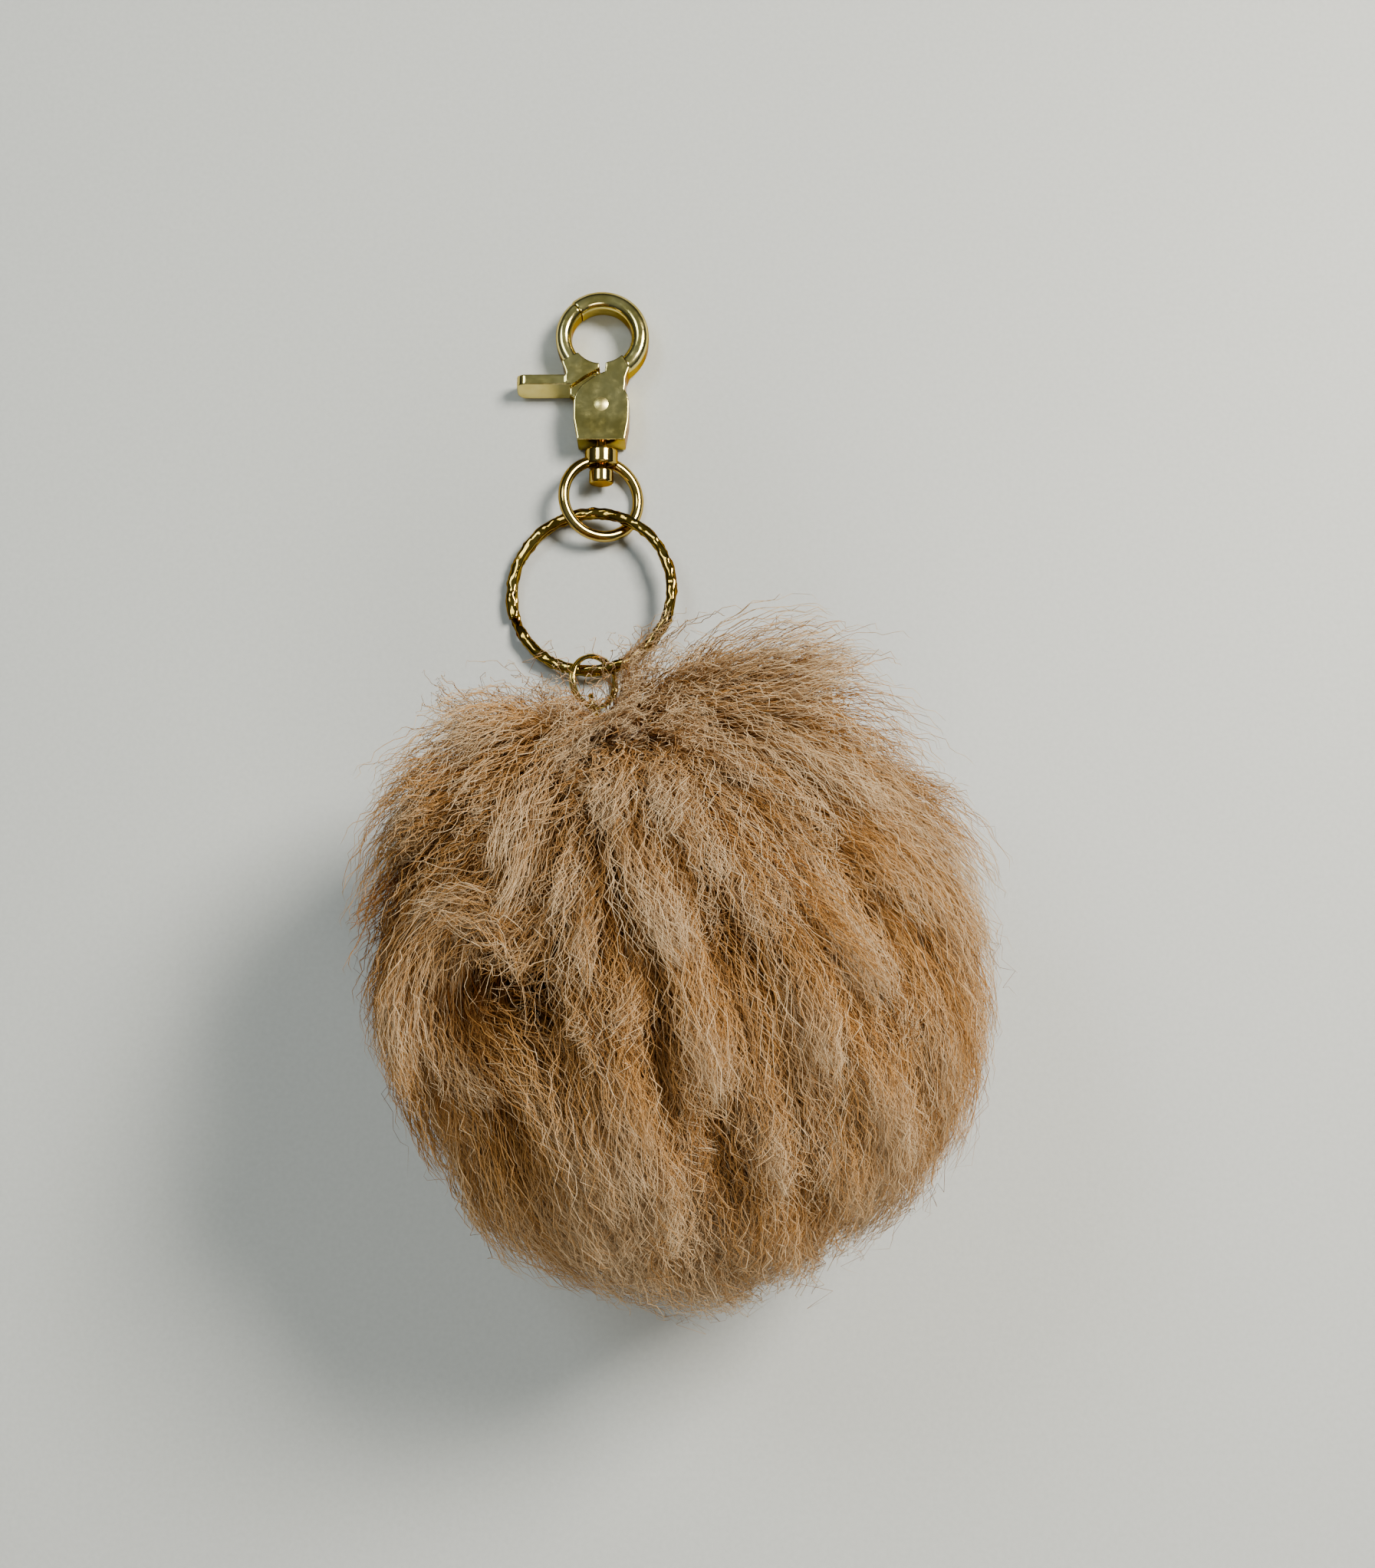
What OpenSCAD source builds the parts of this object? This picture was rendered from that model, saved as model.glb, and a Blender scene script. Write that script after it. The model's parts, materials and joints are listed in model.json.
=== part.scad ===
// Fur pompom key charm: a snap hook on a swivel, a split key ring, a double-wound jump ring and a fur ball.
// The charm lies on a flat surface at z = 0, with the snap hook towards +Y and the fur ball towards -Y.
// All lengths are millimetres and all angles are degrees.

/* [Snap hook] */
// Sideways place of the hook's centre line, measured from the middle of the charm
clasp_x = -11.3; // [-14:0.1:-8]
// Height of the hook's middle plane above the surface
clasp_z = 2.75; // [2.75:0.05:3]
// Place of the trigger's rivet along the charm
pivot_y = 54.4; // [54:0.1:55]
// Distance from the rivet to the centre of the hook's opening
hook_reach = 10.7; // [10.5:0.1:11]
// Inner radius of the hook's opening
hook_inner_r = 4.4; // [4.2:0.1:4.5]
// Outer radius of the hook
hook_outer_r = 6.8; // [6.6:0.1:7]
// Thickness of the hook and of the trigger's jaw
hook_thick = 4.4; // [4.2:0.1:4.6]
// Radius on the four edges of the hook's bar
hook_edge_r = 1.1; // [0.6:0.1:1.1]
// Thickness of the casting around the rivet
body_thick = 4.8; // [4.6:0.1:4.8]
// Radius of the cheeks about the rivet
cheek_r = 4; // [3.9:0.1:4]
// Height of the slot between the two cheeks
slot_thick = 2.2; // [2.2:0.1:2.4]

/* [Trigger] */
// Thickness of the trigger's tongue inside the slot
tongue_thick = 2; // [1.8:0.1:2]
// Distance from the rivet to the tip of the thumb tab
tab_reach = 12.3; // [11:0.1:12.5]
// Thickness of the thumb tab at its foot, along the charm
tab_thick = 2.2; // [2:0.1:2.6]
// Thickness of the thumb tab at its top
tab_top = 1.4; // [1.2:0.1:1.6]
// Height of the thumb tab
tab_high = 4; // [3.6:0.1:4.4]
// Wire diameter of the trigger's coil spring
spring_wire = 0.34; // [0.3:0.02:0.36]

/* [Swivel] */
// Wire diameter of the swivel eye
eye_wire = 1.6; // [1.4:0.1:1.6]
// Radius of the swivel eye to the middle of its wire
eye_mid_r = 5.65; // [5.5:0.05:5.8]
// Place of the swivel eye's centre along the charm
eye_y = 40.9; // [40.8:0.1:41]
// Turn of the swivel eye about the swivel, with its left side raised
eye_roll = 20; // [19:1:21]
// Radius of the swivel's boss
boss_r = 2.4; // [2.2:0.1:2.5]

/* [Key ring] */
// Outer diameter of the split key ring
key_ring_d = 25; // [24.8:0.1:25.2]
// Width of the ring's flattened wire, from the inside to the outside of the ring
key_wire_wide = 1.7; // [1.5:0.1:1.8]
// Thickness of one turn of the ring
key_turn = 1; // [0.9:0.05:1]
// Sideways place of the key ring's centre
key_x = -12.6; // [-12.8:0.1:-12.4]
// Place of the key ring's centre along the charm
key_y = 27; // [26.9:0.1:27.1]
// Height of the key ring's centre
key_z = 2.75; // [2.7:0.05:2.8]
// Slope of the key ring, with its right side raised
key_roll = 8; // [7:1:9]

/* [Jump ring] */
// Outer diameter of the double-wound jump ring
jump_ring_d = 8; // [7.9:0.1:8.2]
// Wire diameter of the jump ring
jump_wire = 0.64; // [0.6:0.02:0.7]
// Sideways place of the jump ring's centre
jump_x = -12.15; // [-12.25:0.05:-12.05]
// Place of the jump ring's centre along the charm
jump_y = 13.75; // [13.7:0.05:13.8]
// Height of the jump ring's centre
jump_z = 3; // [2.95:0.05:3.05]
// Slope of the jump ring, with its left side raised
jump_roll = 36; // [34:1:38]

/* [Fur ball] */
// Radius of the fur ball's outer surface
fur_r = 40; // [38:0.5:41]
// Place of the fur ball's centre along the charm
fur_y = -31.5; // [-33:0.5:-31]
// Height of the fur ball's centre
fur_z = 35; // [34:0.5:38]
// Radius of the stuffed pelt ball inside the fur
pelt_r = 22; // [20:0.5:24]
// Thickness of the pelt's backing
pelt_thick = 0.8; // [0.6:0.1:1.2]
// Distance from the eye pin's loop to the middle of the stuffed ball
core_reach = 39; // [38:0.5:42]
// Wire diameter of the eye pin
pin_wire = 0.7; // [0.6:0.05:0.7]

/* [Hidden] */
$fn = 64;

gold = "goldenrod";
steel = "silver";
play = 0.05;
bite = 0.02;
through = 20;

clasp_foot = -5.3;
slot_floor = -4;
rivet_r = 0.8;
rivet_head_r = 1.15;
rivet_dome = 0.28;
spring_mid_r = 1.3;
spring_floor = 0.25;
spring_leg = 2.3;
spring_leg_turn = -50;
hub_r = 2.7;
jaw_start = 131.5;
jaw_end = 222;
arm_start = -70;
arm_end = 130;
jaw_trim = 0.12;
tab_start = 2.4;
tab_corner_r = 1.3;
tab_root = -4.3;

post_r = 0.7;
post_head_r = 1.05;
post_head = 0.9;
boss_top = 48.3;
boss_foot = 45.7;
boss_edge_r = 0.5;
stud_top = boss_foot - 0.5;
stud_r = 1.75;
stud_long = 2.1;
stud_edge_r = 0.35;

key_edge_r = 0.28;
key_split = 14;
key_split_at = 205;
key_mid_r = key_ring_d / 2 - key_wire_wide / 2;
key_centre = [key_x, key_y, key_z];
jump_split = 24;
jump_split_at = 20;
jump_mid_r = jump_ring_d / 2 - jump_wire / 2;
jump_centre = [jump_x, jump_y, jump_z];
cross_over = 0.92;

fur_centre = [0, fur_y, fur_z];
loop_mid_r = 1.65;
loop_place = jump_centre - [0, jump_mid_r, 0];
to_ball = fur_centre - loop_place;
pin_lean = acos(to_ball[2] / norm(to_ball));
pin_turn = atan2(to_ball[1], to_ball[0]);
pin_end_r = 1.4;
pin_end_thick = 0.8;
washer_at = core_reach - 14;
washer_r = 5;
washer_thick = 0.9;
pin_end_at = washer_at + washer_thick + 2 * play;
neck_r = 2.6;
neck_long = 7;
neck_start = core_reach - pelt_r - 5;
thread_at = neck_start + 2;
thread_r = 0.33;
thread_turns = 3;
thread_pitch = 0.6;
collar_start = 5;
collar_long = 12;
collar_r = 9;

// A bar's section, with its four edges rounded
module rounded_bar(wide, high, edge_r) {
    square([wide - 2 * edge_r, high], center = true);
    square([wide, high - 2 * edge_r], center = true);
    for (sx = [-1, 1]) {
        for (sy = [-1, 1]) {
            translate([sx * (wide / 2 - edge_r), sy * (high / 2 - edge_r)]) circle(r = edge_r);
        }
    }
}

// A disc that starts at height 0, with both its edges rounded
module rounded_disc(r, long, edge_r) {
    translate([0, 0, long / 2]) rotate_extrude() intersection() {
        rounded_bar(2 * r, long, edge_r);
        translate([0, -long / 2]) square([r, long]);
    }
}

// A flat sheet between two heights, centred on the hook's middle plane
module plate(thick) {
    translate([0, 0, -thick / 2]) linear_extrude(height = thick) children();
}

// Puts a shape at the trigger's rivet
module at_rivet() {
    translate([clasp_x, pivot_y, clasp_z]) children();
}

// Puts a shape with its height along the swivel, measured from y = 0
module along_swivel() {
    translate([clasp_x, 0, clasp_z]) rotate([-90, 0, 0]) children();
}

// Puts a shape with its height along the eye pin, measured from the pin's loop
module along_pin() {
    translate(loop_place) rotate([0, pin_lean, pin_turn]) children();
}

// Part of the hook's round bar between two angles about the opening, thinned all round by a trim
module hook_bar(start, end, trim) {
    wide = hook_outer_r - hook_inner_r - 2 * trim;
    translate([0, hook_reach, 0])
        rotate([0, 0, start])
            rotate_extrude(angle = end - start)
                translate([(hook_inner_r + hook_outer_r) / 2, 0])
                    rounded_bar(wide, hook_thick - 2 * trim, hook_edge_r - trim);
}

// Outline of the casting: the two cheeks, the foot and the shoulder that runs into the hook's arm
module body_outline() {
    circle(r = cheek_r);
    polygon([[-cheek_r, 0], [-3.95, -2.2], [-3.65, -3.9], [-3.4, clasp_foot], [3.4, clasp_foot],
        [3.65, -3.9], [3.95, -2.2], [cheek_r, 0]]);
    difference() {
        polygon([[-2.4, 3.2], [-1, 4.3], [0.55, 4.95], [0.7, 6.6], [2.8, 7.8], [4, 5.6],
            [3.5, 4.2], [3.35, 2.2], [0, 0]]);
        translate([0, hook_reach]) circle(r = hook_inner_r);
    }
}

// Outline of the jaw's root, set back from the cheeks along its lower edge
module jaw_outline() {
    difference() {
        polygon([[-5.75, 6.7], [-5.15, 5], [-5.2, 3.6], [-4.3, 3.1], [-2.35, 4.5], [-0.35, 5.65],
            [-0.35, 6.6], [-2.2, 6.9], [-3.4, 8]]);
        translate([0, hook_reach]) circle(r = hook_inner_r);
    }
}

// Outline of the thin tongue between the cheeks, from the hub out to the jaw and the tab
module tongue_outline() {
    circle(r = hub_r);
    polygon([[-4.6, 2], [-1.9, 0], [-0.2, 1.9], [-0.2, 4.9], [-0.7, 5.7], [-3, 5.6], [-4.6, 4]]);
}

// Thumb tab of the trigger: a blade that thickens towards its foot, its end corners rounded
module thumb_tab() {
    intersection() {
        translate([tab_root, tab_start, 0]) rotate([90, 0, -90])
            linear_extrude(height = tab_reach + tab_root)
                polygon([[0, -tab_high / 2], [-tab_thick, -tab_high / 2], [-tab_thick, tab_high / 2],
                    [tab_top - tab_thick, tab_high / 2]]);
        translate([0, tab_start, 0]) rotate([-90, 0, 0]) linear_extrude(height = tab_thick) {
            translate([tab_corner_r - tab_reach, -tab_high / 2]) square([tab_reach, tab_high]);
            translate([-tab_reach, tab_corner_r - tab_high / 2])
                square([tab_reach, tab_high - 2 * tab_corner_r]);
            for (side = [-1, 1]) {
                translate([tab_corner_r - tab_reach, side * (tab_high / 2 - tab_corner_r)])
                    circle(r = tab_corner_r);
            }
        }
    }
}

// Two turns of wire side by side, open at the split and joined there by a short cross-over
module two_turn_ring(mid_r, pitch, split_at, split) {
    rotate([0, 0, split_at + split / 2])
        rotate_extrude(angle = 360 - split)
            for (side = [-1, 1]) {
                translate([mid_r, side * pitch / 2]) children();
            }
    rotate([0, 0, split_at - split])
        rotate_extrude(angle = 2 * split)
            translate([mid_r, 0]) scale(cross_over) children();
}

// Casting of the snap hook: two cheeks with a slot between them, the foot and the fixed arm
module clasp_body() {
    color(gold) at_rivet() difference() {
        union() {
            plate(body_thick) body_outline();
            hook_bar(arm_start, arm_end, 0);
        }
        translate([-6, slot_floor, -slot_thick / 2]) cube([8.8, 6.9, slot_thick]);
        translate([-6, 0, -slot_thick / 2]) cube([6.3, 6, slot_thick]);
        cylinder(r = rivet_r, h = through, center = true);
        rotate([90, 0, 0]) cylinder(r = post_r, h = through);
    }
}

// Jaw, tongue and thumb tab of the trigger in one piece
module trigger() {
    color(gold) at_rivet() difference() {
        union() {
            hook_bar(jaw_start, jaw_end, jaw_trim);
            plate(hook_thick - 2 * jaw_trim) jaw_outline();
            thumb_tab();
            plate(tongue_thick) tongue_outline();
        }
        translate([0, 0, spring_floor - play])
            cylinder(r = spring_mid_r + spring_wire / 2 + 0.15, h = tongue_thick);
        rotate([0, 0, -60]) translate([0, 0, spring_floor - play]) cube([4, 2.6, tongue_thick]);
        cylinder(r = rivet_r + play, h = through, center = true);
    }
}

// Rivet that the trigger turns on, with a domed head on each face
module trigger_rivet() {
    color(gold) at_rivet() {
        cylinder(r = rivet_r, h = body_thick, center = true);
        for (side = [0, 180]) {
            rotate([side, 0, 0]) intersection() {
                dome_r = (rivet_head_r * rivet_head_r + rivet_dome * rivet_dome) / (2 * rivet_dome);
                translate([0, 0, body_thick / 2 + rivet_dome - dome_r]) sphere(r = dome_r);
                translate([0, 0, body_thick / 2]) cylinder(r = rivet_head_r, h = 1);
            }
        }
    }
}

// Coil spring around the rivet, with one leg out to the wall of the slot
module trigger_spring() {
    color(steel) at_rivet() {
        for (turn = [0, 1]) {
            translate([0, 0, spring_floor + spring_wire / 2 + turn * (spring_wire - bite)])
                rotate_extrude() translate([spring_mid_r, 0]) circle(r = spring_wire / 2);
        }
        translate([0, 0, spring_floor + spring_wire / 2])
            rotate([0, 0, spring_leg_turn]) translate([0, spring_mid_r, 0]) rotate([0, 90, 0])
                cylinder(r = spring_wire / 2, h = spring_leg);
    }
}

// Swivel post: a head inside the slot, a shaft through the foot and the boss, and a stud below
module swivel_post() {
    head_at = pivot_y + slot_floor;
    color(gold) along_swivel() {
        translate([0, 0, stud_top - 1]) cylinder(r = post_r, h = head_at + post_head - stud_top + 1);
        translate([0, 0, head_at]) cylinder(r = post_head_r, h = post_head);
        translate([0, 0, stud_top - stud_long]) rounded_disc(stud_r, stud_long, stud_edge_r);
    }
}

// Swivel eye: a boss that turns on the post, and a round wire loop
module swivel_eye() {
    color(gold) translate([clasp_x, 0, clasp_z]) rotate([0, eye_roll, 0]) difference() {
        union() {
            translate([0, boss_top, 0]) rotate([90, 0, 0])
                rounded_disc(boss_r, boss_top - boss_foot, boss_edge_r);
            translate([0, eye_y, 0]) rotate_extrude() translate([eye_mid_r, 0]) circle(r = eye_wire / 2);
        }
        translate([0, boss_top + 1, 0]) rotate([90, 0, 0]) cylinder(r = post_r + play, h = 5);
    }
}

// Split key ring of two turns
module key_ring() {
    color(gold) translate(key_centre) rotate([0, -key_roll, 0])
        two_turn_ring(key_mid_r, key_turn - bite, key_split_at, key_split)
            rounded_bar(key_wire_wide, key_turn, key_edge_r);
}

// Jump ring of two turns, round the key ring and through the eye pin's loop
module jump_ring() {
    color(gold) translate(jump_centre) rotate([0, jump_roll, 0])
        two_turn_ring(jump_mid_r, jump_wire - 2 * bite, jump_split_at, jump_split)
            circle(r = jump_wire / 2);
}

// Eye pin: a loop round the jump ring and a shank into the stuffed ball
module eye_pin() {
    color(gold) along_pin() {
        rotate([90, 0, 0]) rotate_extrude() translate([loop_mid_r, 0]) circle(r = pin_wire / 2);
        translate([0, 0, loop_mid_r]) cylinder(r = pin_wire / 2, h = pin_end_at + play - loop_mid_r);
        translate([0, 0, pin_end_at]) cylinder(r = pin_end_r, h = pin_end_thick);
    }
}

// Washer that keeps the pin from pulling out of the ball
module pin_washer() {
    color(steel) along_pin() translate([0, 0, washer_at]) difference() {
        cylinder(r = washer_r, h = washer_thick);
        cylinder(r = pin_wire / 2 + play, h = through, center = true);
    }
}

// Thread wound round the pelt's gathered neck
module gather_thread() {
    color("tan") along_pin() translate([0, 0, thread_at])
        for (turn = [0:thread_turns - 1]) {
            translate([0, 0, turn * thread_pitch])
                rotate_extrude() translate([neck_r + thread_r + play / 2, 0]) circle(r = thread_r);
        }
}

// Pelt backing: a ball-shaped bag with a gathered neck around the pin
module pelt_skin() {
    color("rosybrown") along_pin() difference() {
        union() {
            translate([0, 0, core_reach]) sphere(r = pelt_r);
            translate([0, 0, neck_start]) cylinder(r = neck_r, h = neck_long);
        }
        translate([0, 0, core_reach]) sphere(r = pelt_r - pelt_thick);
        translate([0, 0, neck_start - 1]) cylinder(r = pin_wire / 2 + play, h = neck_long + 3);
    }
}

// Stuffing inside the pelt, with the pin's end and its washer buried in it
module stuffing_core() {
    color("ivory") along_pin() difference() {
        translate([0, 0, core_reach]) sphere(r = pelt_r - pelt_thick - play);
        translate([0, 0, neck_start]) cylinder(r = pin_wire / 2 + play, h = washer_at - neck_start + 1);
        translate([0, 0, washer_at - play]) cylinder(r = washer_r + play, h = washer_thick + 2 * play);
        translate([0, 0, pin_end_at - 2 * play]) cylinder(r = pin_end_r + play, h = pin_end_thick + 3 * play);
    }
}

// Soft outer pile of the fur ball, flat where it lies on the surface and drawn in to the neck
module fur_pile() {
    color("peru") difference() {
        union() {
            intersection() {
                translate(fur_centre) sphere(r = fur_r);
                translate([-fur_r, fur_y - fur_r, 0]) cube(2 * fur_r);
            }
            along_pin() translate([0, 0, collar_start]) cylinder(r1 = neck_r, r2 = collar_r, h = collar_long);
        }
        along_pin() {
            translate([0, 0, core_reach]) sphere(r = pelt_r + play);
            translate([0, 0, neck_start - play]) cylinder(r = neck_r + play, h = neck_long + 2);
            translate([0, 0, thread_at - thread_r - play])
                cylinder(r = neck_r + 2 * thread_r + 2 * play, h = thread_turns * thread_pitch + 3 * play);
            cylinder(r = pin_wire / 2 + play, h = through);
        }
    }
}

clasp_body();
trigger();
trigger_rivet();
trigger_spring();
swivel_post();
swivel_eye();
key_ring();
jump_ring();
eye_pin();
pin_washer();
gather_thread();
pelt_skin();
stuffing_core();
fur_pile();
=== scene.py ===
"""Looks of the fur pompom key charm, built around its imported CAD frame.

Lengths are millimetres until a mesh or the camera is made. Lights, the floor and bump depths are in metres.
"""

import json
import math

import bpy
import numpy as np
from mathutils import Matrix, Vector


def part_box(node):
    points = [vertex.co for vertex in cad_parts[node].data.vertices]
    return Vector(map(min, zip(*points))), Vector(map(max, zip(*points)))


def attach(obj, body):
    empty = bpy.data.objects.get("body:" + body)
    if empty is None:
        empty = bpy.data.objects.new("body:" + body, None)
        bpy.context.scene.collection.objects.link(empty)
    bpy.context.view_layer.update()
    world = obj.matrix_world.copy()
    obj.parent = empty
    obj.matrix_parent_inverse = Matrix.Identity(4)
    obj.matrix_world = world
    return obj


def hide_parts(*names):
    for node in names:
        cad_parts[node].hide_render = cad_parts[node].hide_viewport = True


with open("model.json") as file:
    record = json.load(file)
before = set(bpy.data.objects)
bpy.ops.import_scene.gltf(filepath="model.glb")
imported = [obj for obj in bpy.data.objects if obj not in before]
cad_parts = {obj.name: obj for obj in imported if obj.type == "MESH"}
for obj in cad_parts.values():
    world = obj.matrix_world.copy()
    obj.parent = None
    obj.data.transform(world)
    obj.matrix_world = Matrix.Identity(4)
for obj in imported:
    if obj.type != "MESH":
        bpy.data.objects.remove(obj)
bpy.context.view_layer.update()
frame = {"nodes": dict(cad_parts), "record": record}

MM = 0.001
RNG = np.random.default_rng(20)

# Camera: straight above the charm, leaning a little towards the clasp
CAMERA_PLACE = (1.2, -55.9, 314.0)
CAMERA_LEAN = 10.0
CAMERA_LENS = 51.3

# Gold from its darkest to its lightest tone: cast plate, drawn wire and the key ring's struck faces
PLATE_TONES = ((0.58, 0.47, 0.14), (0.71, 0.60, 0.22), (0.80, 0.70, 0.30))
WIRE_TONES = ((0.42, 0.28, 0.06), (0.52, 0.37, 0.10), (0.60, 0.45, 0.15))
# The key ring's tones lie far below bare gold: partly its own darker alloy, partly painted dark reflection
STRUCK_TONES = ((0.19, 0.11, 0.015), (0.27, 0.17, 0.03), (0.42, 0.30, 0.07))
# Gold seen aslant, made darker and warmer than bare gold: painted shade on side walls and outlines
SHADED_EDGE_TONE = (0.42, 0.24, 0.06)

# Fur: how many hairs of each kind, and how many locks they gather into
LONG_HAIRS = 46000
UNDER_HAIRS = 15000
FLYAWAYS = 900
LOCKS = 700

# Thickness of a long hair, and how many times thicker the short hair is
HAIR_THICK = 0.108
UNDER_THICKER = 2.2

# Meshes that the long and the short hair are shared over
LONG_PIECES = 19
UNDER_PIECES = 2

# Steps in which a hair is laid over
COMB_STEPS = 5

# Shades of hair, and where each kind lies between the darkest at 0 and the lightest at 1, root and tip
# The dark roots and the darker short hair are partly the fur's own colour and partly painted shade deep in
# the coat
SHADES = 8
LONG_SHADE = (0.10, 0.90)
UNDER_SHADE = (0.03, 0.48)
STRAY_SHADE = (0.08, 0.6)
ROOT_COLOUR = (0.18, 0.056, 0.006)
MIDDLE_COLOUR = (0.42, 0.205, 0.052)
TIP_COLOUR = (0.59, 0.42, 0.24)

# Directions on the ball, as azimuth and elevation in degrees: where the hair runs from and to, and its whorl
HAIR_SOURCE = (106.0, -32.0)
HAIR_SINK = (-75.0, -50.0)
WHORL = (186.0, 43.0)
WHORL_WIDTH = 17.0

# Tufts and hollows of the ball's outline: azimuth, elevation, change of radius, width in degrees
TUFTS = [
    (106, -32, 0.15, 38),
    (137, 16, 0.25, 22),
    (119, 4, -0.20, 9),
    (110, 40, -0.05, 12),
    (92, 8, 0.07, 8),
    (80, 22, 0.20, 14),
    (54, 15, 0.36, 14),
    (32, 0, -0.02, 10),
    (19, 4, 0.12, 7),
    (5, 2, -0.08, 7),
    (-35, 0, 0.04, 14),
    (-92, 4, 0.03, 12),
    (-145, 0, -0.03, 22),
    (186, 43, -0.03, 6),
]

# Painted light and shade on the coat: locks lighter by the neck, below it and on the near side, and darker
# on the left side away from the key light. Columns: azimuth, elevation, change of shade, width in degrees
PAINTED_LIGHT_PATCHES = [
    (96, 24, 0.33, 30),
    (106, -32, 0.24, 35),
    (-105, 15, 0.18, 38),
    (166, 10, -0.42, 26),
]

# Partings, where the coat opens in a furrow and its hair is also painted darker as painted shade: azimuth,
# elevation, length, width, share of full depth
FULL_DEPTH = 1.6
PARTINGS = [
    (50, 47, 14, 4, 0.17),
    (95, 55, 7, 4, 0.12),
    (152, 47, 9, 5, 0.16),
    (181, 50, 6, 4, 0.06),
    (198, 52, 7, 4, 0.06),
    (-126, 59, 11, 3, 0.17),
    (-93, 65, 13, 3, 0.22),
    (-38, 73, 14, 3, 0.18),
    (-77, 43, 10, 3.5, 0.17),
    (-116, 81, 4, 3, 0.18),
    (-125, 40, 9, 3.5, 0.15),
    (20, 50, 9, 3, 0.10),
    (-25, 50, 10, 3, 0.11),
]


# ---------------------------------------------------------------- small helpers

def unit(v):
    """Rows of v at length one."""
    v = np.asarray(v, float)
    return v / np.maximum(np.linalg.norm(v, axis=-1, keepdims=True), 1e-9)


def aim(azimuth, elevation):
    """The direction at an azimuth and elevation in degrees."""
    a = math.radians(azimuth)
    e = math.radians(elevation)
    return np.array([math.cos(e) * math.cos(a), math.cos(e) * math.sin(a), math.sin(e)])


def angle_from(dirs, pole):
    """Degrees between each direction and a pole."""
    return np.degrees(np.arccos(np.clip(dirs @ pole, -1, 1)))


def add_patches(values, dirs, patches):
    """Values with soft round patches added in the directions that a table lists."""
    for azimuth, elevation, change, width in patches:
        values = values + change * np.exp(-(angle_from(dirs, aim(azimuth, elevation)) / width) ** 2)
    return values


def ease(x, low, high):
    """Smooth step from 0 at low to 1 at high."""
    t = np.clip((x - low) / (high - low), 0, 1)
    return t * t * (3 - 2 * t)


def corners(node):
    """A node's box at rest, in millimetres."""
    low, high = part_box(node)
    return np.array(low) / MM, np.array(high) / MM


def joint(name):
    """A joint of the record, by name."""
    return next(j for j in frame["record"]["behaviour"]["joints"] if j["name"] == name)


def mesh_piece(name, points, triangles, materials, slots=None):
    """A mesh object from points in millimetres and triangles."""
    points = np.asarray(points, float)
    triangles = np.asarray(triangles, np.int32)
    mesh = bpy.data.meshes.new(name)
    mesh.vertices.add(len(points))
    mesh.vertices.foreach_set("co", (points * MM).ravel())
    mesh.loops.add(triangles.size)
    mesh.loops.foreach_set("vertex_index", triangles.ravel())
    mesh.polygons.add(len(triangles))
    mesh.polygons.foreach_set("loop_start", np.arange(0, triangles.size, 3, dtype=np.int32))
    for material in materials:
        mesh.materials.append(material)
    if slots is not None:
        mesh.polygons.foreach_set("material_index", np.asarray(slots, np.int32))
    mesh.polygons.foreach_set("use_smooth", np.ones(len(triangles), bool))
    mesh.update(calc_edges=True)
    piece = bpy.data.objects.new(name, mesh)
    bpy.context.scene.collection.objects.link(piece)
    return piece


# ---------------------------------------------------------------- materials

def new_material(name):
    """A material with its Principled shader."""
    material = bpy.data.materials.new(name)
    material.use_nodes = True
    return material, material.node_tree, material.node_tree.nodes["Principled BSDF"]


def noise(tree, scale, detail=4.0, rough=0.5):
    """Noise in object space, scale in features per metre."""
    place = tree.nodes.new("ShaderNodeTexCoord")
    texture = tree.nodes.new("ShaderNodeTexNoise")
    texture.inputs["Scale"].default_value = scale
    texture.inputs["Detail"].default_value = detail
    texture.inputs["Roughness"].default_value = rough
    tree.links.new(place.outputs["Object"], texture.inputs["Vector"])
    return texture


def ramp(tree, source, stops):
    """A colour ramp on a texture's value."""
    node = tree.nodes.new("ShaderNodeValToRGB")
    while len(node.color_ramp.elements) < len(stops):
        node.color_ramp.elements.new(0.5)
    for element, (at, colour) in zip(node.color_ramp.elements, stops):
        element.position = at
        element.color = (*colour, 1)
    tree.links.new(source, node.inputs["Fac"])
    return node


def bump(tree, shader, source, strength, depth):
    """Bump from a texture's value, depth in metres."""
    node = tree.nodes.new("ShaderNodeBump")
    node.inputs["Strength"].default_value = strength
    node.inputs["Distance"].default_value = depth
    tree.links.new(source, node.inputs["Height"])
    tree.links.new(node.outputs["Normal"], shader.inputs["Normal"])


def gold_material(name, tones, smoothest, roughest, dent_scale, dent_depth):
    """Thin gold plate over a casting: warm tone drift, worn duller patches and faint polishing dents, with a
    dark amber tint at grazing angles as painted shade on side walls and outlines.
    """
    material, tree, shader = new_material(name)
    shader.inputs["Metallic"].default_value = 1.0
    # Dark amber tint at grazing angles: painted shade on side walls and outlines
    shader.inputs["Specular Tint"].default_value = (*SHADED_EDGE_TONE, 1)
    tone = noise(tree, 260.0, 5.0)
    colour = ramp(tree, tone.outputs["Fac"], list(zip((0.32, 0.52, 0.72), tones)))
    tree.links.new(colour.outputs["Color"], shader.inputs["Base Color"])
    wear = noise(tree, 900.0, 6.0, 0.6)
    dull = tree.nodes.new("ShaderNodeMapRange")
    dull.inputs["From Min"].default_value = 0.35
    dull.inputs["From Max"].default_value = 0.7
    dull.inputs["To Min"].default_value = smoothest
    dull.inputs["To Max"].default_value = roughest
    tree.links.new(wear.outputs["Fac"], dull.inputs["Value"])
    tree.links.new(dull.outputs["Result"], shader.inputs["Roughness"])
    dents = noise(tree, dent_scale, 3.0)
    bump(tree, shader, dents.outputs["Fac"], 0.5, dent_depth)
    return material


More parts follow.
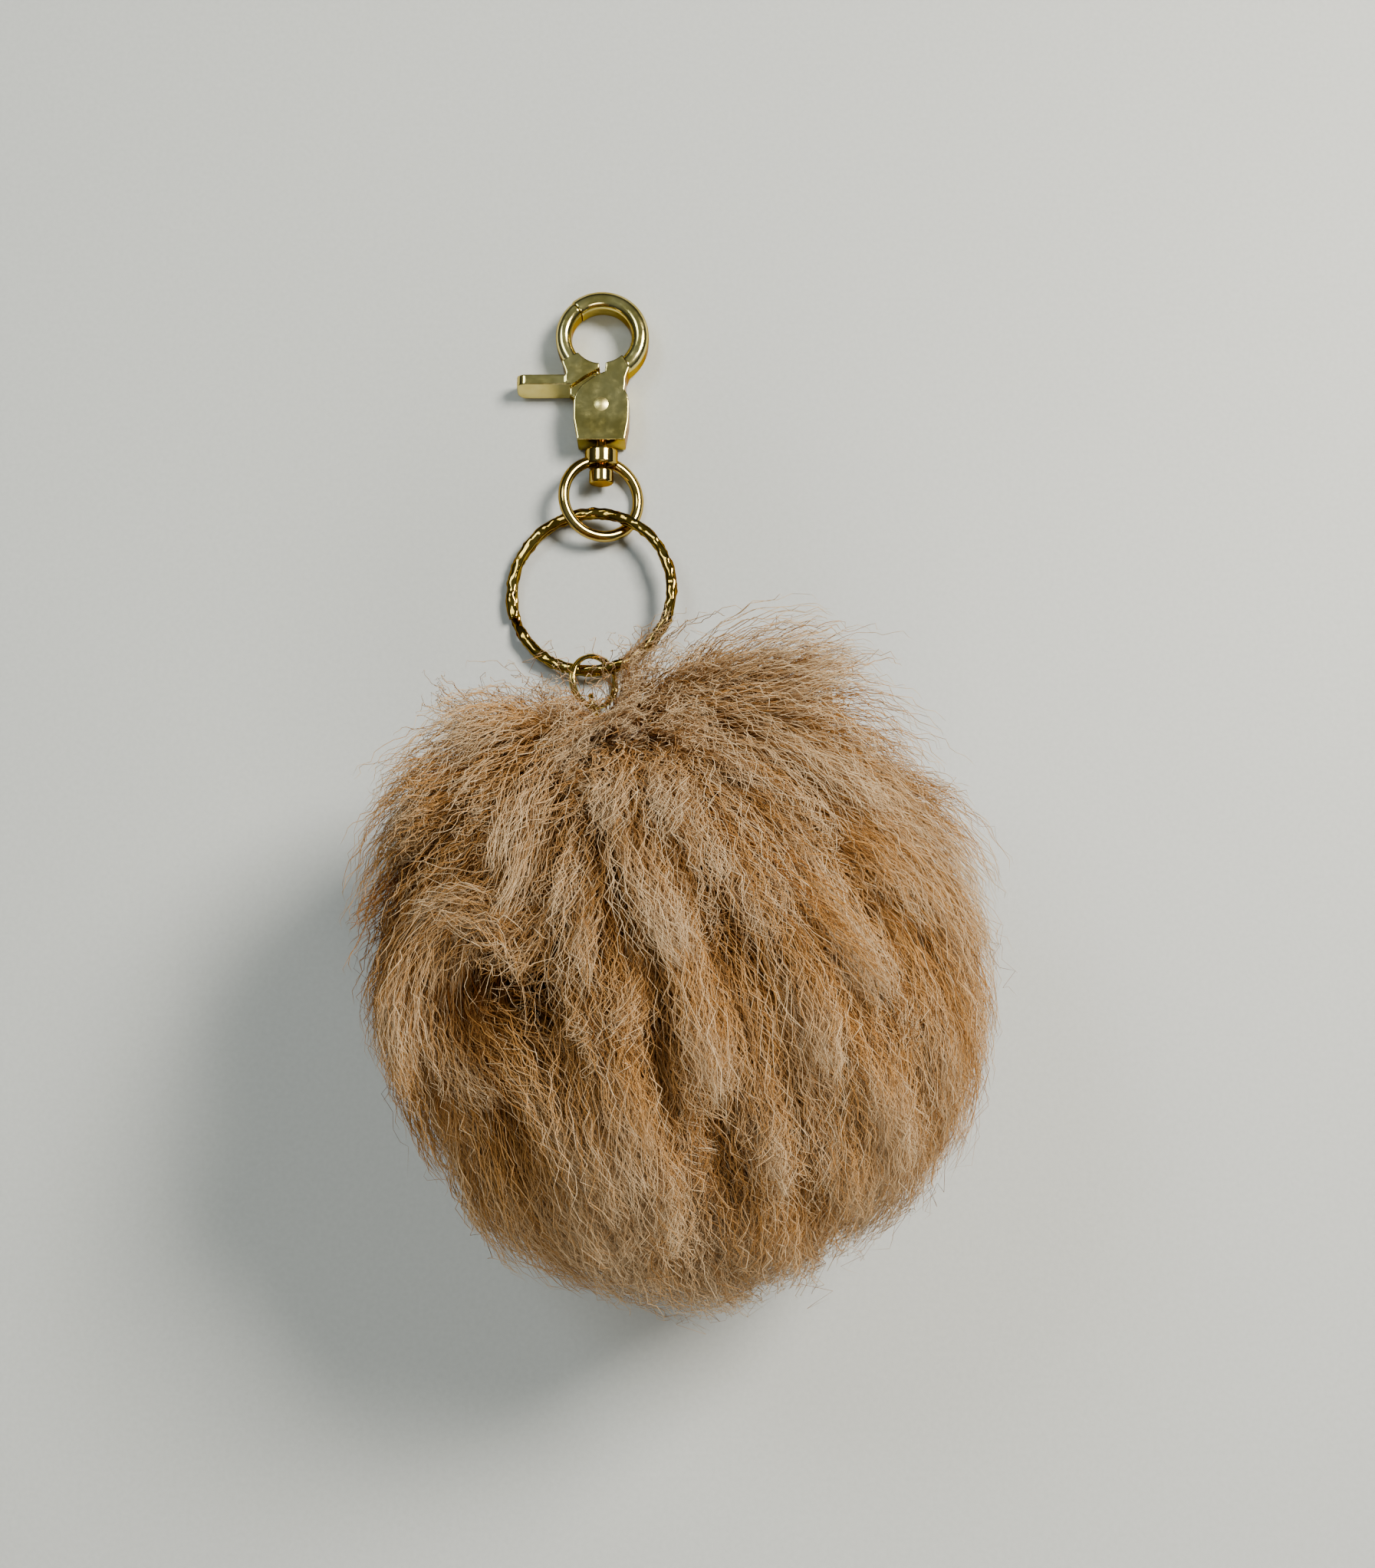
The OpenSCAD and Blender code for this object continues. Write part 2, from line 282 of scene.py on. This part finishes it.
def steel_material():
    """Plain drawn steel."""
    material, tree, shader = new_material("spring_steel")
    shader.inputs["Metallic"].default_value = 1.0
    grain = noise(tree, 2500.0)
    colour = ramp(tree, grain.outputs["Fac"], [(0.3, (0.42, 0.42, 0.44)), (0.7, (0.62, 0.62, 0.64))])
    tree.links.new(colour.outputs["Color"], shader.inputs["Base Color"])
    shader.inputs["Roughness"].default_value = 0.32
    bump(tree, shader, grain.outputs["Fac"], 0.2, 0.00002)
    return material


def fibre_material(name, dark, light, scale, depth):
    """Cloth-like fibre: blotchy colour and a fine nap."""
    material, tree, shader = new_material(name)
    blotch = noise(tree, scale, 6.0, 0.7)
    colour = ramp(tree, blotch.outputs["Fac"], [(0.3, dark), (0.7, light)])
    tree.links.new(colour.outputs["Color"], shader.inputs["Base Color"])
    shader.inputs["Roughness"].default_value = 0.9
    shader.inputs["Sheen Weight"].default_value = 0.3
    nap = noise(tree, scale * 6, 4.0)
    bump(tree, shader, nap.outputs["Fac"], 0.6, depth)
    return material


def hair_materials():
    """The fur's shades, dark at the root to light at the tip; the dark end is partly the fur's own colour
    and partly painted shade deep in the coat. Hair is fine, so each shade is even.
    """
    shades = []
    for i in range(SHADES):
        t = 2 * i / (SHADES - 1)
        start, end = (ROOT_COLOUR, MIDDLE_COLOUR) if t < 1 else (MIDDLE_COLOUR, TIP_COLOUR)
        colour = [a + (b - a) * (t % 1 if t < 2 else 1) for a, b in zip(start, end)]
        material, tree, shader = new_material(f"fur_shade_{i}")
        shader.inputs["Base Color"].default_value = (*colour, 1)
        shader.inputs["Roughness"].default_value = 0.7
        shader.inputs["Specular IOR Level"].default_value = 0.15
        shades.append(material)
    return shades


def floor_material():
    """Pale matt table top with a faint grain."""
    material, tree, shader = new_material("pale_floor")
    grain = noise(tree, 1400.0, 3.0)
    colour = ramp(tree, grain.outputs["Fac"], [(0.3, (0.45, 0.465, 0.44)), (0.7, (0.485, 0.50, 0.475))])
    tree.links.new(colour.outputs["Color"], shader.inputs["Base Color"])
    shader.inputs["Roughness"].default_value = 0.55
    bump(tree, shader, grain.outputs["Fac"], 0.15, 0.0001)
    return material


# ---------------------------------------------------------------- stage

def make_camera():
    """The camera at the photograph's viewing angle."""
    data = bpy.data.cameras.new("camera")
    data.lens = CAMERA_LENS
    data.sensor_width = 36.0
    data.clip_start = 0.01
    camera = bpy.data.objects.new("camera", data)
    camera.location = [c * MM for c in CAMERA_PLACE]
    camera.rotation_euler = (math.radians(CAMERA_LEAN), 0, 0)
    bpy.context.scene.collection.objects.link(camera)
    bpy.context.scene.camera = camera


def area_light(name, place, target, size, power, colour):
    """A square soft light aimed at a point, places in metres."""
    data = bpy.data.lights.new(name, "AREA")
    data.size = size
    data.energy = power
    data.color = colour
    light = bpy.data.objects.new(name, data)
    light.location = place
    away = np.array(place) - np.array(target)
    light.rotation_euler = (math.atan2(math.hypot(away[0], away[1]), away[2]), 0,
                            math.atan2(away[1], away[0]) + math.pi / 2)
    bpy.context.scene.collection.objects.link(light)


def make_surround():
    """A room dimmer at its walls than overhead, so that rounded metal has dark edges to mirror."""
    world = bpy.data.worlds.new("surround")
    world.use_nodes = True
    tree = world.node_tree
    place = tree.nodes.new("ShaderNodeTexCoord")
    parts = tree.nodes.new("ShaderNodeSeparateXYZ")
    tree.links.new(place.outputs["Generated"], parts.inputs["Vector"])
    shade = ramp(tree, parts.outputs["Z"],
                 [(0.0, (0.03, 0.03, 0.03)), (0.45, (0.06, 0.065, 0.065)), (0.75, (0.17, 0.19, 0.18)),
                  (1.0, (0.21, 0.235, 0.21))])
    tree.links.new(shade.outputs["Color"], tree.nodes["Background"].inputs["Color"])
    bpy.context.scene.world = world


def make_stage():
    """Floor, a warm light from the right, a cool one from the left and a weak one from the near side."""
    bpy.ops.mesh.primitive_plane_add(size=3.0, location=(0, 0, -0.00005))
    floor = bpy.context.object
    floor.name = "floor"
    floor.data.materials.append(floor_material())
    area_light("key_light", (0.36, 0.22, 0.54), (0, 0, 0.02), 0.22, 9.5, (1.0, 0.95, 0.87))
    area_light("left_light", (-0.30, 0.24, 0.58), (0, 0, 0.02), 0.20, 1.6, (0.85, 0.95, 1.0))
    area_light("near_light", (0.12, -0.52, 0.50), (0, 0, 0.03), 0.30, 2.3, (1.0, 0.96, 0.90))
    make_surround()


# ---------------------------------------------------------------- metal pieces

def rounded_casting(node, body, material):
    """A copy of a CAD casting with its edges rounded as polishing leaves them."""
    voxel = 0.10
    passes = 3
    regrow = 0.05
    piece = bpy.data.objects.new(f"{node}_polished", frame["nodes"][node].data.copy())
    bpy.context.scene.collection.objects.link(piece)
    remesh = piece.modifiers.new("remesh", "REMESH")
    remesh.mode = "VOXEL"
    remesh.voxel_size = voxel * MM
    smooth = piece.modifiers.new("smooth", "SMOOTH")
    smooth.factor = 0.5
    smooth.iterations = passes
    swell = piece.modifiers.new("swell", "DISPLACE")
    swell.mid_level = 0.0
    swell.strength = regrow * MM
    graph = bpy.context.evaluated_depsgraph_get()
    finished = bpy.data.meshes.new_from_object(piece.evaluated_get(graph))
    piece.modifiers.clear()
    piece.data = finished
    finished.materials.clear()
    finished.materials.append(material)
    finished.polygons.foreach_set("use_smooth", np.ones(len(finished.polygons), bool))
    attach(piece, body)
    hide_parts(node)


def swept(name, path, sections, normal, materials):
    """A closed tube along an open path. Each section is a ring of offsets, outward and up."""
    path = np.asarray(path)
    along = unit(np.gradient(path, axis=0))
    up = unit(normal - (along @ normal)[:, None] * along)
    out = np.cross(along, up)
    rings = path[:, None] + sections[..., :1] * out[:, None] + sections[..., 1:] * up[:, None]
    count, sides = sections.shape[:2]
    points = np.concatenate([rings.reshape(-1, 3), path[:1], path[-1:]])
    triangles = []
    for i in range(count - 1):
        for k in range(sides):
            a = i * sides + k
            b = i * sides + (k + 1) % sides
            triangles += [(a, b, b + sides), (a, b + sides, a + sides)]
    for k in range(sides):
        last = (count - 1) * sides
        triangles.append((count * sides, (k + 1) % sides, k))
        triangles.append((count * sides + 1, last + k, last + (k + 1) % sides))
    return mesh_piece(name, points, triangles, materials)


def ring_frame(centre, normal):
    """Turns flat ring points (x, y, height) into the ring's place."""
    z = unit(normal)
    x = unit(np.cross([0, 1, 0], z))
    y = np.cross(z, x)
    return lambda p: centre + p[:, :1] * x + p[:, 1:2] * y + p[:, 2:] * z


def key_ring_piece(material):
    """The split ring: two turns of wire struck all over into small rounded dents."""
    slide = joint("jump_ring_slide")
    centre = np.array(slide["pos_m"]) / MM
    normal = np.array(slide["axis"])
    half_wide = 0.85
    half_turn = 0.49
    half_pitch = 0.5
    radius = 12.5 - half_wide
    dents = 2 * 84
    steps = 4
    split_at = math.radians(205)
    split = math.radians(14)
    start = split_at + split / 2
    span = 4 * math.pi - split
    quarter = np.array([(1, 0.3), (0.78, 0.8), (0.3, 1)])
    half = np.concatenate([quarter, quarter[::-1] * (-1, 1)])
    shape = np.concatenate([half, half * (-1, -1)]) * (half_wide, half_turn)
    struck = RNG.uniform(0.62, 1.0, (dents + 1, len(shape), 1))
    place = np.linspace(0, dents, dents * steps + 1)
    low = np.minimum(place.astype(int), dents - 1)
    part = ease(place - low, 0, 1)[:, None, None]
    sections = shape * (struck[low] * (1 - part) + struck[low + 1] * part)
    angles = start + span * place / dents
    climb = ease(angles, start + 2 * math.pi - split, start + 2 * math.pi)
    height = (2 * climb - 1) * half_pitch
    flat = np.stack([radius * np.cos(angles), radius * np.sin(angles), height], 1)
    path = ring_frame(centre, normal)(flat)
    piece = swept("key_ring_struck", path, sections, unit(normal), [material])
    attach(piece, "key_ring")
    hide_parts("key_ring")


def jump_ring_piece(material):
    """The jump ring: round wire wound twice, its ends lying side by side."""
    low, high = corners("jump_ring")
    centre = (low + high) / 2
    roll = math.radians(36)
    normal = np.array([math.sin(roll), 0, math.cos(roll)])
    radius = 4.0 - 0.32
    wire = 0.315
    half_pitch = 0.31
    sides = 12
    start = 34
    angles = np.linspace(math.radians(start), math.radians(start + 690), 150)
    climb = ease(angles, math.radians(start + 310), math.radians(start + 380))
    flat = np.stack([radius * np.cos(angles), radius * np.sin(angles), (2 * climb - 1) * half_pitch], 1)
    path = ring_frame(centre, normal)(flat)
    turn = np.linspace(0, 2 * math.pi, sides, endpoint=False)
    circle = np.stack([np.cos(turn), np.sin(turn)], 1) * wire
    ends = np.ones((len(angles), 1, 1))
    ends[0] = ends[-1] = 0.72
    piece = swept("jump_ring_wound", path, circle[None] * ends, normal, [material])
    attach(piece, "jump_ring")
    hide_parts("jump_ring")


def dress_metal():
    """Gives the metal its finish. Castings and rings get finer meshes; other CAD nodes stay."""
    gold = gold_material("gold_plate", PLATE_TONES, 0.09, 0.22, 300.0, 0.00005)
    wire = gold_material("gold_wire", WIRE_TONES, 0.06, 0.14, 500.0, 0.00003)
    worn = gold_material("worn_gold", PLATE_TONES, 0.30, 0.45, 900.0, 0.00002)
    struck = gold_material("hammered_gold", STRUCK_TONES, 0.05, 0.11, 1600.0, 0.00002)
    steel = steel_material()
    for node, material in (("swivel_post", wire), ("swivel_eye", wire), ("eye_pin", wire),
                           ("trigger_rivet", worn), ("trigger_spring", steel), ("pin_washer", steel)):
        frame["nodes"][node].data.materials[0] = material
    rounded_casting("clasp_body", "clasp", gold)
    rounded_casting("trigger", "trigger", gold)
    key_ring_piece(struck)
    jump_ring_piece(wire)


# ---------------------------------------------------------------- fur

class Ball:
    """Places of the fur ball, read from the frame, in millimetres."""

    def __init__(self):
        low, high = corners("fur_pile")
        self.radius = (high[0] - low[0]) / 2
        self.centre = np.array([(low[0] + high[0]) / 2, low[1] + self.radius, high[2] - self.radius])
        low, high = corners("pelt_skin")
        self.pelt = (high[0] - low[0]) / 2
        self.core = np.array([(low[0] + high[0]) / 2, low[1] + self.pelt, high[2] - self.pelt])
        self.neck = np.array(joint("pompom_swing")["pos_m"]) / MM
        self.source = aim(*HAIR_SOURCE)
        self.sink = aim(*HAIR_SINK)
        self.whorl = aim(*WHORL)

    def reach(self, dirs):
        """Radius of the fur's outer surface in each direction."""
        return add_patches(np.full(len(dirs), 0.98), dirs, TUFTS) * self.radius

    def flow(self, dirs):
        """The way the hair lies along the surface: away from the neck, over the crown and under."""
        away = dirs - self.source
        far = np.maximum(np.linalg.norm(away, axis=1, keepdims=True), 0.15)
        pull = away / far ** 1.5 + 0.9 * self.sink
        spin = np.cross(self.whorl, dirs)
        near = np.exp(-(angle_from(dirs, self.whorl) / WHORL_WIDTH) ** 2)[:, None]
        pull = pull * (1 - 0.95 * near) + 9.0 * near * spin
        return unit(pull - (pull * dirs).sum(1, keepdims=True) * dirs)

    def lie(self, dirs):
        """How far the hair lies over, in degrees: nearly upright by the neck, flatter further on."""
        return 10 + 27 * ease(angle_from(dirs, self.source), 35, 95)

    def furrow(self, dirs):
        """Depth of the partings in each direction, as a part of the radius."""
        out = np.zeros(len(dirs))
        for azimuth, elevation, long, wide, depth in PARTINGS:
            middle = aim(azimuth, elevation)
            along = self.flow(middle[None])[0]
            across = np.cross(middle, along)
            u = np.degrees(dirs @ along) / long
            v = np.degrees(dirs @ across) / wide
            out += FULL_DEPTH * depth * np.exp(-u ** 2 - v ** 2) * (dirs @ middle > 0)
        return out


def random_dirs(count):
    """Directions spread evenly at random over a sphere."""
    z = RNG.uniform(-1, 1, count)
    a = RNG.uniform(0, 2 * math.pi, count)
    r = np.sqrt(1 - z * z)
    return np.stack([r * np.cos(a), r * np.sin(a), z], 1)


def spiral_dirs(count, jitter):
    """Directions spread evenly over a sphere on a spiral, with a little disorder."""
    i = np.arange(count) + 0.5
    z = 1 - 2 * i / count
    a = i * math.pi * (3 - math.sqrt(5))
    r = np.sqrt(1 - z * z)
    dirs = np.stack([r * np.cos(a), r * np.sin(a), z], 1)
    return unit(dirs + RNG.normal(0, jitter, (count, 3)))


def bend(ball, dirs, lie):
    """Where a hair from each direction ends up after lying over by lie degrees."""
    lean = np.radians(lie)[:, None]
    return unit(dirs * np.cos(lean) + ball.flow(dirs) * np.sin(lean))


def combed(ball, roots, lie, stray, length, t):
    """Paths of hairs that grow out of the pelt and lie over along the flow, as (hair, step, xyz)."""
    lean_late = 1.4
    rise_early = 1.7
    root_depth = 0.4
    stations = [roots]
    for _ in range(COMB_STEPS):
        stations.append(bend(ball, stations[-1], lie / COMB_STEPS))
    stations = np.stack(stations, 1) + stray[:, None] * np.linspace(0, 1, COMB_STEPS + 1)[None, :, None]
    place = COMB_STEPS * t ** lean_late
    low = np.minimum(place.astype(int), COMB_STEPS - 1)
    part = (place - low)[None, :, None]
    dirs = unit(stations[:, low] * (1 - part) + stations[:, low + 1] * part)
    reach = ball.reach(dirs[:, -1]) * length
    rise = 1 - (1 - t) ** rise_early
    root_r = ball.pelt - root_depth
    radius = root_r + (reach[:, None] - root_r) * rise
    middle = ball.core + (ball.centre - ball.core) * rise[:, None]
    return middle[None] + dirs * radius[..., None]


def leaves_neck_clear(ball, paths):
    """Which hairs are kept. Nearly all that would hide the jump ring from above are left out."""
    window_x = 0.5
    window_y = 1.8
    window_long = 7
    window_half = 2.2
    slant_x = 0.042
    slant_y = 0.212
    let_across = 0.14
    up = paths[..., 2] - ball.neck[2]
    dx = paths[..., 0] - (ball.neck[0] + window_x + slant_x * up)
    dy = paths[..., 1] - (ball.neck[1] + window_y - slant_y * up)
    beside = np.hypot(dx, dy - np.clip(dy, 0, window_long)).min(1)
    return (beside > window_half) | (RNG.random(len(paths)) < let_across)


def strand_tubes(paths, thick):
    """Tapered three-sided closed tubes along many paths: points, triangles and each triangle's step."""
    count, steps = paths.shape[:2]
    along = unit(np.gradient(paths, axis=1))
    helper = unit(RNG.normal(0, 1, (count, 1, 3)))
    side = unit(np.cross(along, helper))
    other = np.cross(along, side)
    t = np.linspace(0, 1, steps)
    taper = (0.75 + 0.5 * t - 0.85 * t ** 3)[None, :, None]
    rings = []
    for k in range(3):
        a = 2 * math.pi * k / 3
        spoke = math.cos(a) * side + math.sin(a) * other
        rings.append(paths + spoke * (thick[:, None, None] * 0.5 * taper))
    body = np.stack(rings, 2)[:, :-1].reshape(count, -1, 3)
    points = np.concatenate([body, paths[:, -1:]], 1)
    wall = []
    step_of = []
    for s in range(steps - 2):
        for k in range(3):
            a = 3 * s + k
            b = 3 * s + (k + 1) % 3
            wall += [(a, b, b + 3), (a, b + 3, a + 3)]
            step_of += [s, s]
    last = 3 * (steps - 2)
    for k in range(3):
        wall.append((last + k, last + (k + 1) % 3, 3 * (steps - 1)))
        step_of.append(steps - 2)
    wall.append((2, 1, 0))
    step_of.append(0)
    pattern = np.array(wall)
    per = 3 * (steps - 1) + 1
    triangles = (np.arange(count) * per)[:, None, None] + pattern[None]
    return points.reshape(-1, 3), triangles.reshape(-1, 3), np.array(step_of)


def make_locks(ball):
    """The locks: where each starts, how it lies, its length, sway and lightness, this last a random tone
    plus the painted light and shade patches.
    """
    roots = spiral_dirs(LOCKS, 0.045)
    # Each lock's lightness: a random tone of its own plus the painted light and shade patches
    return {"roots": roots,
            "lie": ball.lie(roots) + RNG.normal(0, 13, LOCKS),
            "stray": RNG.normal(0, 0.10, (LOCKS, 3)),
            "length": RNG.uniform(0.86, 1.03, LOCKS),
            "sway": RNG.uniform(0, 2 * math.pi, LOCKS),
            "light": add_patches(RNG.normal(0, 0.09, LOCKS), roots, PAINTED_LIGHT_PATCHES)}


def waves(paths, t, across, outward, frizz):
    """Adds each hair's own crimp, sideways and outward, growing from the root."""
    count = len(paths)
    length = np.linalg.norm(np.diff(paths, axis=1), axis=2).sum(1)
    grow = t[None, :, None] ** 0.8 * frizz
    for wave, size in ((3.0, 0.34), (5.6, 0.62)):
        for direction, share in ((across, 1.0), (outward, 0.6)):
            turns = (length / (wave * RNG.uniform(0.75, 1.3, count)))[:, None, None]
            phase = RNG.uniform(0, 2 * math.pi, (count, 1, 1))
            crimp = np.sin(2 * math.pi * turns * t[None, :, None] + phase)
            paths = paths + direction[:, None] * size * share * grow * crimp
    return paths


def hair_paths(ball, locks, roots, t, short, frizz):
    """Paths of many hairs gathered into locks and rested on the table, with each hair's lightness, which
    carries its lock's painted light and shade and painted shade in the partings.
    """
    count = len(roots)
    lock = np.argmax(roots @ locks["roots"].T, axis=1)
    length = locks["length"] * short
    own = combed(ball, roots, ball.lie(roots) + RNG.normal(0, 7, count), RNG.normal(0, 0.10, (count, 3)),
                 length[lock], t)
    guide = combed(ball, locks["roots"], locks["lie"], locks["stray"], length, t)[lock]
    hold = np.where(RNG.random(count) < 0.16, 0.15, RNG.beta(5, 2, count) * 0.98)
    paths = own + (guide - own) * hold[:, None, None] * t[None, :, None]
    tips = unit(paths[:, -1] - ball.centre)
    furrow = ball.furrow(tips)
    uneven = 1.04 - 0.22 * RNG.beta(1.3, 2.4, count)
    scale = 1 + (uneven - 1 - furrow)[:, None, None] * t[None, :, None] ** 0.9
    paths = ball.centre + (paths - ball.centre) * scale
    across = unit(np.cross(tips, ball.flow(tips)))
    sway_width = 1.4
    sway = np.sin(4.5 * t[None, :, None] + locks["sway"][lock][:, None, None])
    paths = paths + across[:, None] * sway * sway_width * t[None, :, None]
    paths = rest_on_table(waves(paths, t, across, tips, frizz))
    light = locks["light"][lock] + RNG.normal(0, 0.10, count) + 0.16 * (RNG.random(count) < 0.14)
    kept = leaves_neck_clear(ball, paths)
    # Hairs in the partings are painted darker: painted shade in the furrows
    return paths[kept], (light - 0.6 * furrow)[kept]


def rest_on_table(points):
    """Hair that would go below the table lies on it instead."""
    lowest = 0.15
    floor = 0.35 + 1.8 * RNG.random(points.shape[:1])[:, None]
    high = points[..., 2]
    points[..., 2] = np.where(high < floor, floor + 0.02 * (high - floor), high)
    points[..., 2] = np.maximum(points[..., 2], lowest)
    return points


def fur_piece(name, paths, t, light, thick, shades, tones):
    """One mesh of many hairs, dark at the roots and light at the tips; the dark roots are partly the fur's
    own colour and partly painted shade deep in the coat.
    """
    root, tip = tones
    points, triangles, step_of = strand_tubes(paths, thick)
    along = (t[step_of] + t[step_of + 1]) / 2
    # Tone rises with the square of the way along, so the hair beneath the tips stays dark: partly its own
    # colour, partly painted shade. light adds the lock's painted light and shade and the partings' painted
    # shade
    tone = root + (tip - root) * along[None] ** 2 + light[:, None]
    tone = tone + RNG.normal(0, 0.03, tone.shape)
    slots = np.clip((tone * SHADES).astype(int), 0, SHADES - 1)
    piece = mesh_piece(name, points, triangles, shades, slots.ravel())
    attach(piece, "pompom")
    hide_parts("fur_pile")


def make_fur():
    """The whole coat: long hair in several pieces, short hair beneath and a few stray hairs."""
    ball = Ball()
    shades = hair_materials()
    locks = make_locks(ball)
    long_t = np.concatenate([[0.0], np.linspace(0.48, 1.0, 13)])
    under_t = np.linspace(0, 1, 5)
    roots = random_dirs(LONG_HAIRS)
    roots = roots[np.argsort(np.arctan2(roots[:, 1], roots[:, 0]))]
    paths, light = hair_paths(ball, locks, roots, long_t, 1.0, 1.0)
    for i, part in enumerate(np.array_split(np.arange(len(paths)), LONG_PIECES)):
        thick = HAIR_THICK * RNG.uniform(0.7, 1.3, len(part))
        fur_piece(f"fur_long_{i}", paths[part], long_t, light[part], thick, shades, LONG_SHADE)
    paths, light = hair_paths(ball, locks, random_dirs(UNDER_HAIRS), under_t, 0.84, 0.8)
    for i, part in enumerate(np.array_split(np.arange(len(paths)), UNDER_PIECES)):
        thick = HAIR_THICK * UNDER_THICKER * RNG.uniform(0.8, 1.2, len(part))
        fur_piece(f"fur_under_{i}", paths[part], under_t, light[part], thick, shades, UNDER_SHADE)
    paths, light = hair_paths(ball, locks, random_dirs(FLYAWAYS), long_t, 1.05, 2.4)
    thick = HAIR_THICK * RNG.uniform(0.5, 0.8, len(paths))
    fur_piece("fur_stray", paths, long_t, light - 0.15, thick, shades, STRAY_SHADE)
    return ball


def stuffed_ball(ball, material):
    """The pelt seen between the hairs: a lumpy closed ball that blocks the light behind the coat."""
    skin_gap = 0.25
    nap_thick = 1.95
    lump_height = 0.5
    bpy.ops.mesh.primitive_ico_sphere_add(subdivisions=6, radius=1.0)
    piece = bpy.context.object
    piece.name = "pelt_nap"
    count = len(piece.data.vertices)
    dirs = np.empty(count * 3)
    piece.data.vertices.foreach_get("co", dirs)
    dirs = unit(dirs.reshape(-1, 3))
    lumps = np.zeros(count)
    for wave in range(1, 6):
        turn = unit(RNG.normal(0, 1, 3))
        lumps += np.sin(dirs @ turn * (5 + 4 * wave) + RNG.uniform(0, 6.28)) / wave
    cover = ease(angle_from(dirs, ball.source), 35, 80)
    reach = ball.pelt + skin_gap + cover * (nap_thick + lump_height * lumps)
    points = ball.core + dirs * reach[:, None]
    points[:, 2] = np.maximum(points[:, 2], 1.0)
    piece.data.vertices.foreach_set("co", (points * MM).ravel())
    piece.data.update()
    piece.data.materials.append(material)
    for polygon in piece.data.polygons:
        polygon.use_smooth = True
    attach(piece, "pompom")
    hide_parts("fur_pile")


def dress_soft():
    """Fibre finishes on the inner soft nodes, then the coat."""
    thread = fibre_material("thread", (0.20, 0.12, 0.06), (0.36, 0.25, 0.14), 3000.0, 0.0001)
    pelt = fibre_material("pelt", (0.20, 0.09, 0.035), (0.34, 0.17, 0.075), 1500.0, 0.0006)
    filling = fibre_material("stuffing", (0.66, 0.62, 0.55), (0.85, 0.82, 0.76), 900.0, 0.001)
    for node, material in (("gather_thread", thread), ("pelt_skin", pelt), ("stuffing_core", filling)):
        frame["nodes"][node].data.materials[0] = material
    ball = make_fur()
    stuffed_ball(ball, pelt)


make_camera()
make_stage()
dress_metal()
dress_soft()
